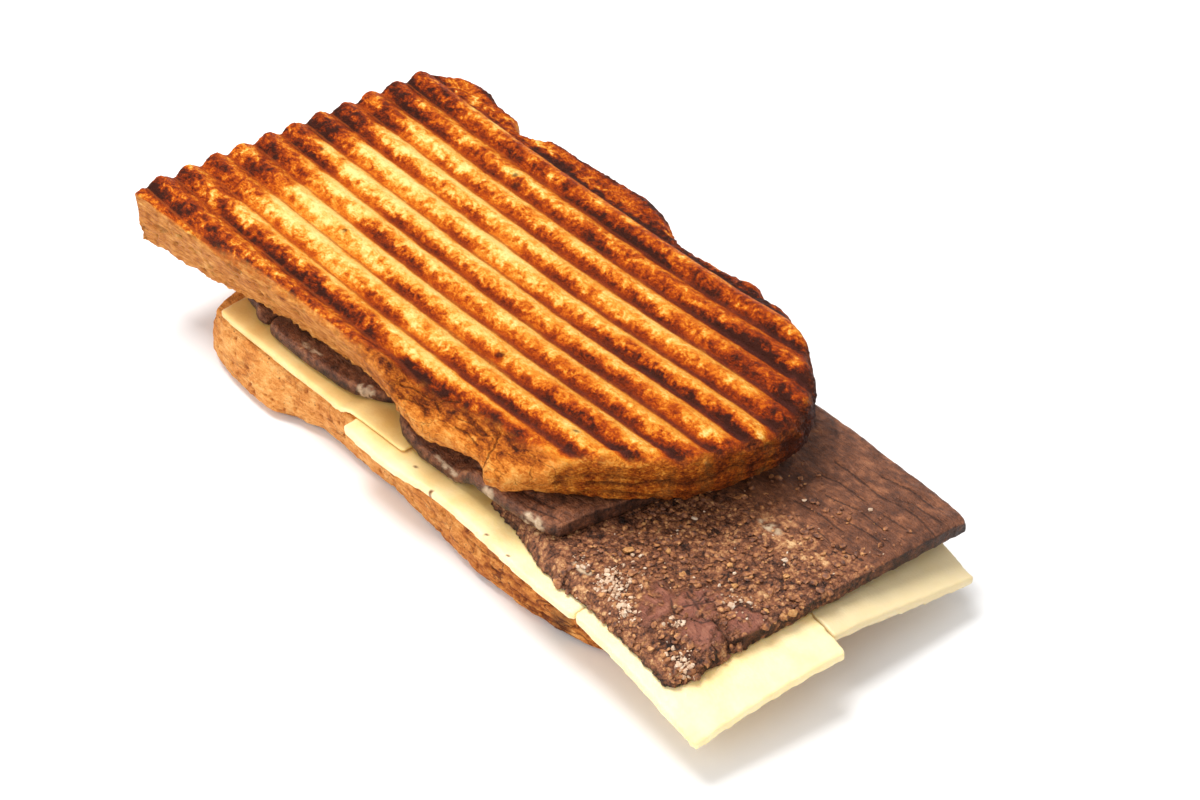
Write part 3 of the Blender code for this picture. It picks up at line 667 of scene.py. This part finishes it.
paint(top, "nose", nose_and_skin)
# The steep front face of the nose is painted darker: partly toasting, partly painted shade.
paint(top, "nose_face", nose_face)
paint(top, "nose_left", 1.0 - ease(-36.0, -8.0, y))
specks_here = np.zeros(len(points))
for centre, reach in TOP_SPECKS:
    specks_here = np.maximum(specks_here, spot(points, centre, reach, 0.4) * upper)
# Dark on the nose creases and the pits, painted shade in these dents, and on the real specks.
paint(top, "crack", np.maximum(np.maximum(creases, 0.6 * pits), specks_here))
paint_cracks(top, points, FLAP_CRACKS)

# Its toasting runs across each ridge from one groove, at 0, to the next, at 1.
RAGGEDNESS = (
    (0.0, 0.4),
    (0.08, 0.7),
    (0.2, 1.0),
    (0.45, 1.0),
    (0.6, 0.6),
    (0.7, 0.3),
    (0.85, 0.2),
    (1.0, 0.4),
)
TOASTING = (
    (0.0, 0.54),
    (0.06, 0.60),
    (0.13, 0.54),
    (0.20, 0.42),
    (0.27, 0.28),
    (0.35, 0.19),
    (0.48, 0.13),
    (0.62, 0.07),
    (0.74, 0.06),
    (0.84, 0.16),
    (0.92, 0.34),
    (1.0, 0.54),
)


def grey_level(share):
    """The 0 to 255 grey that stands for this share once Blender reads it."""
    return 255 * (1.055 * share ** (1 / 2.4) - 0.055) if share > 0.0031 else 255 * 12.92 * share


def profile(finish, value, heights):
    """A height for each value, drawn through a few (value, height) points."""
    return finish.shades(value, *[(place, *[grey_level(height)] * 3) for place, height in heights])


crust = Finish("grilled_crust")
across_ridges = crust.node("VectorMath", crust.place, (RIDGE_SLANT, 1.0, 0.0), operation="DOT_PRODUCT")
pitches = 1.0 / (RIDGE_PITCH * MM)
count_now = crust.maths("MULTIPLY_ADD", across_ridges.outputs["Value"], pitches, FIRST_GROOVE / RIDGE_PITCH)
steady = crust.maths("FRACT", crust.maths("MULTIPLY_ADD", crust.grain(9.0, 2.0), 0.03, count_now))
raggedness = profile(crust, steady, RAGGEDNESS)
tongues = crust.total((crust.grain(3.4, 5.0, warp=0.5), 0.17), (crust.grain(1.2, 4.0, warp=0.8), 0.13))
across = crust.maths("ADD", steady, crust.times(tongues, raggedness))
patches = crust.total(
    (crust.grain(2.2, 4.0, warp=0.6), 0.2),
    (crust.grain(5.5, 3.0, stretch=(1.8, 1.0, 1.0)), 0.2),
)
short_fibres = crust.grain(0.42, 4.0, stretch=(2.4, 1.0, 1.0), turn=(0, 0, 0.9), warp=0.5)
heat = crust.total(
    0.72,
    (crust.grain(17.0, 2.0, stretch=(1.9, 0.7, 1.0)), 0.56),
    (crust.painted("frontwards"), 0.38),
    (crust.painted("scorch"), -0.2),
)
browning = crust.total(
    crust.times(profile(crust, across, TOASTING), heat),
    (crust.times(patches, raggedness), 1.0),
    (crust.grain(14.0, 2.0), 0.07),
    (short_fibres, 0.1),
    (crust.painted("frontwards"), 0.13),
    0.03,
)
scorch_patches = crust.times(crust.painted("scorch"), crust.total((patches, 1.6), (short_fibres, 0.12)))
browning = crust.total(browning, (crust.painted("scorch"), 0.84), scorch_patches)
colour = crust.shades(
    browning,
    (0.0, 252, 220, 138),
    (0.12, 246, 196, 104),
    (0.25, 234, 154, 52),
    (0.38, 212, 110, 18),
    (0.52, 176, 72, 7),
    (0.68, 134, 46, 6),
    (0.84, 94, 33, 10),
    (1.0, 58, 23, 12),
)
crease_count = crust.maths("FRACT", crust.maths("ADD", count_now, 0.5 + CREASE_LEAD))
to_crease = crust.maths("ABSOLUTE", crust.maths("SUBTRACT", crease_count, 0.5))
crease_width = crust.maths("MULTIPLY_ADD", crust.painted("frontwards"), 0.06, 0.04)
crease_width = crust.maths("MULTIPLY_ADD", crust.grain(8.0, 2.0), 0.02, crease_width)
in_crease = crust.between(crust.maths("DIVIDE", to_crease, crease_width), 1.4, 0.5)
in_crease = crust.times(in_crease, crust.painted("ridged"))
crease_tone = crust.shades(
    crust.painted("frontwards"),
    (0.0, 160, 74, 24),
    (0.6, 126, 52, 25),
    (1.0, 82, 37, 28),
)
colour = crust.coat(crust.times(in_crease, 0.55), colour, crease_tone)
wrinkles = crust.grain(1.5, 4.0, stretch=(3.0, 1.0, 1.0), turn=(0, 0, 0.5), warp=0.8)
flap_lightness = crust.total(
    0.64,
    (wrinkles, 0.25),
    (short_fibres, 0.18),
    (crust.grain(4.0, 3.0), 0.28),
    (crust.painted("scorch"), -0.8),
)
flap_tone = crust.shades(
    flap_lightness,
    (0.0, 60, 26, 10),
    (0.2, 124, 54, 14),
    (0.45, 186, 98, 26),
    (0.65, 218, 132, 48),
    (0.95, 238, 172, 88),
)
colour = crust.coat(crust.painted("flap"), colour, flap_tone)
side_streaks = crust.grain(0.8, 4.0, stretch=(4.0, 3.0, 0.9))
side_tone = crust.shades(
    crust.total(0.46, (side_streaks, 0.24), (crust.grain(3.5), 0.2)),
    (0.05, 128, 64, 22),
    (0.35, 190, 112, 46),
    (0.6, 220, 148, 72),
    (0.9, 244, 192, 116),
)
colour = crust.coat(crust.painted("torn_side"), colour, side_tone)
nose_lightness = crust.total(
    0.50,
    (crust.grain(0.6, 4.0, stretch=(1.6, 1.6, 0.8)), 0.34),
    (crust.grain(3.0, 3.0), 0.24),
    # darker steep front face: partly toasting, partly painted shade
    (crust.painted("nose_face"), -0.18),
    (crust.painted("nose_left"), 0.22),
    (crust.painted("scorch"), -0.8),
)
nose_tone = crust.shades(
    nose_lightness,
    (0.0, 62, 22, 5),
    (0.25, 116, 48, 10),
    (0.5, 170, 82, 18),
    (0.72, 212, 122, 36),
    (0.95, 236, 162, 70),
)
colour = crust.coat(crust.times(crust.painted("nose"), 0.9), colour, nose_tone)
# Painted shade in the creases and pits, and the dark specks.
colour = crust.coat(crust.times(crust.painted("crack"), 0.8), colour, tone(64, 26, 10))
# The flap's thin cracks and skin lines are drawn dark: painted shade inside them.
crust_crack_shade = hairline(crust, 0.24, crust.grain(1.3, 4.0))
skin_lines = crust.times(crust.veins(5.0, 0.06, (1.8, 1.0, 1.0), (0, 0, 0.5)), crust.painted("flap"))
crack_shade_lines = crust.maths("MAXIMUM", crust.times(crust_crack_shade, 0.7), crust.times(skin_lines, 0.4))
colour = crust.coat(crack_shade_lines, colour, tone(66, 28, 10))
crust_bumps = crust.total(
    (crust.times(crust.grain(0.8, 4.0), crust.painted("nose")), 0.9),
    (short_fibres, 0.6),
    (patches, 0.8),
    (side_streaks, 0.2),
    (wrinkles, 0.3),
    (crack_shade_lines, -1.2),
)
crust.complete(colour, 0.55, 0.1, crust.relief(crust_bumps, 0.36))
dress(top, crust, "top_bread")

# Grains of salt and fat, and brown crumbs of seasoning, stick to the left and front of the big slab.
# They are separate bits from 0.3 to 3 mm wide, pressed a little into the meat.
SALT_CLUSTERS = (
    ((78.0, -50.0), (6.0, 3.2), 150),
    ((86.5, -52.8), (4.0, 2.2), 60),
    ((99.0, -46.5), (2.0, 1.5), 16),
    ((108.5, -53.5), (4.0, 2.6), 80),
    ((66.0, -49.5), (4.0, 2.0), 20),
    ((76.0, -45.0), (6.0, 5.0), 40),
    ((104.0, -30.0), (5.0, 4.0), 30),
)
GOLDEN_PLACES = (
    (77.6, -30.5),
    (116.8, -21.6),
    (116.3, -23.0),
    (70.5, -38.0),
    (92.0, -22.0),
    (104.5, -14.0),
    (99.0, -27.0),
    (86.0, -33.5),
    (110.5, -27.0),
)
LOOSE_SALT = 60
SEASONING_CRUMBS = 1500
GRAIN_LIFT = 0.18
GRAIN_SEED = 11

random.seed(GRAIN_SEED)
slab_points, slab_normals = surface_of(bpy.data.objects["braised_slab_front"])
on_top = slab_normals[:, 2] > 0.5
top_points, top_normals = slab_points[on_top], slab_normals[on_top]


def grains(name, finish, places, smallest, largest, flatness):
    """Many small uneven grains joined in one piece, each seated on the slab's nearest point."""
    corners, faces = [], []
    bpy.ops.object.select_all(action="DESELECT")
    bpy.ops.mesh.primitive_ico_sphere_add(subdivisions=1, radius=1.0)
    seed_grain = bpy.context.active_object
    shape = [vertex.co.copy() for vertex in seed_grain.data.vertices]
    sides = [tuple(polygon.vertices) for polygon in seed_grain.data.polygons]
    bpy.data.objects.remove(seed_grain)
    for px, py in places:
        nearest = int(np.argmin((top_points[:, 0] - px) ** 2 + (top_points[:, 1] - py) ** 2))
        normal = Vector(top_normals[nearest])
        size = smallest + (largest - smallest) * random.random() ** 2.2
        stretch = Vector([random.uniform(0.6, 1.3) for _ in range(3)])
        stretch.z *= flatness
        turn = normal.to_track_quat("Z", "Y").to_matrix() @ Euler((0, 0, random.uniform(0, 6.3))).to_matrix()
        centre = Vector(top_points[nearest]) + normal * size * GRAIN_LIFT
        first = len(corners)
        for corner in shape:
            bent = corner * random.uniform(0.6, 1.3)
            corners.append((centre + turn @ Vector([b * s * size / 2 for b, s in zip(bent, stretch)])) * MM)
        faces += [tuple(first + index for index in side_corners) for side_corners in sides]
    mesh = bpy.data.meshes.new(name)
    mesh.from_pydata(corners, [], faces)
    piece = bpy.data.objects.new(name, mesh)
    bpy.context.collection.objects.link(piece)
    mesh.materials.append(finish.material)
    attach(piece, "root")


def grain_finish(name, colour_size, contrast, stops, roughness, bump_size, bump_depth):
    """A grain's finish, with a colour that changes from grain to grain, and fine bumps."""
    finish = Finish(name)
    colour = finish.shades(finish.total(0.5, (finish.grain(colour_size), contrast)), *stops)
    finish.complete(colour, roughness, 0.5, finish.relief(finish.grain(bump_size), bump_depth))
    return finish


def left_places(number):
    """Places spread over the slab, more of them to the left and few on its smooth patches."""
    places = []
    while len(places) < number:
        px, py = random.uniform(62.0, 117.0), random.uniform(-58.0, 24.0)
        chance = 1.0 - max(0.0, (py + 25.0) / 50.0)
        for (cx, cy), (reach, _), _ in SMOOTH_PATCHES:
            chance = min(chance, 0.08 if math.hypot(px - cx, py - cy) < reach * 0.9 else 1.0)
        if random.random() < chance:
            places.append((px, py))
    return places


salt_places = left_places(LOOSE_SALT)
for (cx, cy), (reach_x, reach_y), number in SALT_CLUSTERS:
    salt_places += [(random.gauss(cx, reach_x / 2), random.gauss(cy, reach_y / 2)) for _ in range(number)]
salt_stops = ((0.1, 186, 142, 108), (0.5, 216, 182, 150), (0.9, 242, 226, 204))
salt = grain_finish("salt_and_fat_grains", 1.4, 0.4, salt_stops, 0.35, 0.3, 0.05)
grains("salt_grains", salt, salt_places, 0.4, 1.7, 0.75)

golden_stops = ((0.1, 150, 92, 44), (0.5, 200, 140, 78), (0.9, 228, 178, 116))
golden = grain_finish("golden_crumbs", 0.8, 0.4, golden_stops, 0.5, 0.4, 0.1)
grains("golden_crumbs", golden, GOLDEN_PLACES, 1.9, 3.0, 0.6)

seasoning_stops = ((0.1, 70, 38, 24), (0.4, 124, 74, 46), (0.65, 168, 106, 60), (0.9, 212, 156, 98))
seasoning = grain_finish("brown_seasoning_crumbs", 1.6, 0.5, seasoning_stops, 0.5, 0.3, 0.06)
grains("seasoning_crumbs", seasoning, left_places(SEASONING_CRUMBS), 0.35, 2.3, 0.45)

# The plain pale table, the soft studio light and the camera at the photograph's angle.
TABLE_WIDTH = 6.0
TABLE_DROP = 0.2
WORLD_STRENGTH = 0.65
LIGHTS = (
    ("key_from_above", (-0.28, -0.05, 0.95), 0.5, 9.6),
    ("soft_fill", (0.25, -0.9, 0.65), 0.8, 4.4),
)
CAMERA_TARGET = Vector((21.85, -5.13, 30.0)) * MM
CAMERA_AZIMUTH = math.radians(48.8)
CAMERA_ELEVATION = math.radians(37.5)
CAMERA_DISTANCE = 0.8
LENS_LENGTH = 87.5
SENSOR_WIDTH = 36.0

bpy.ops.mesh.primitive_plane_add(size=TABLE_WIDTH, location=(0, 0, -TABLE_DROP * MM))
table = bpy.context.active_object
table.name = "pale_table"
paper = Finish("pale_table_top")
paper_mottle = paper.total(0.5, (paper.grain(40.0), 0.1))
paper.set(paper.surface["Base Color"], paper.shades(paper_mottle, (0.0, 244, 244, 244), (1.0, 249, 249, 249)))
paper.surface["Roughness"].default_value = 0.8
table.data.materials.append(paper.material)

world = bpy.data.worlds.new("studio")
world.use_nodes = True
sky = world.node_tree.nodes["Background"].inputs
sky["Color"].default_value = (1.0, 1.0, 1.0, 1.0)
sky["Strength"].default_value = WORLD_STRENGTH
bpy.context.scene.world = world
for name, lamp_place, size, power in LIGHTS:
    lamp = bpy.data.lights.new(name, "AREA")
    lamp.size = size
    lamp.energy = power
    lamp_object = bpy.data.objects.new(name, lamp)
    lamp_object.location = lamp_place
    lamp_object.rotation_euler = (CAMERA_TARGET - Vector(lamp_place)).to_track_quat("-Z", "Y").to_euler()
    bpy.context.collection.objects.link(lamp_object)

lens = bpy.data.cameras.new("camera")
lens.lens = LENS_LENGTH
lens.sensor_width = SENSOR_WIDTH
camera = bpy.data.objects.new("camera", lens)
backwards = Vector(
    (
        math.sin(CAMERA_AZIMUTH) * math.cos(CAMERA_ELEVATION),
        -math.cos(CAMERA_AZIMUTH) * math.cos(CAMERA_ELEVATION),
        math.sin(CAMERA_ELEVATION),
    )
)
camera.location = CAMERA_TARGET + CAMERA_DISTANCE * backwards
camera.rotation_euler = (-backwards).to_track_quat("-Z", "Y").to_euler()
bpy.context.collection.objects.link(camera)
bpy.context.scene.camera = camera
bpy.context.scene.view_settings.view_transform = "Standard"
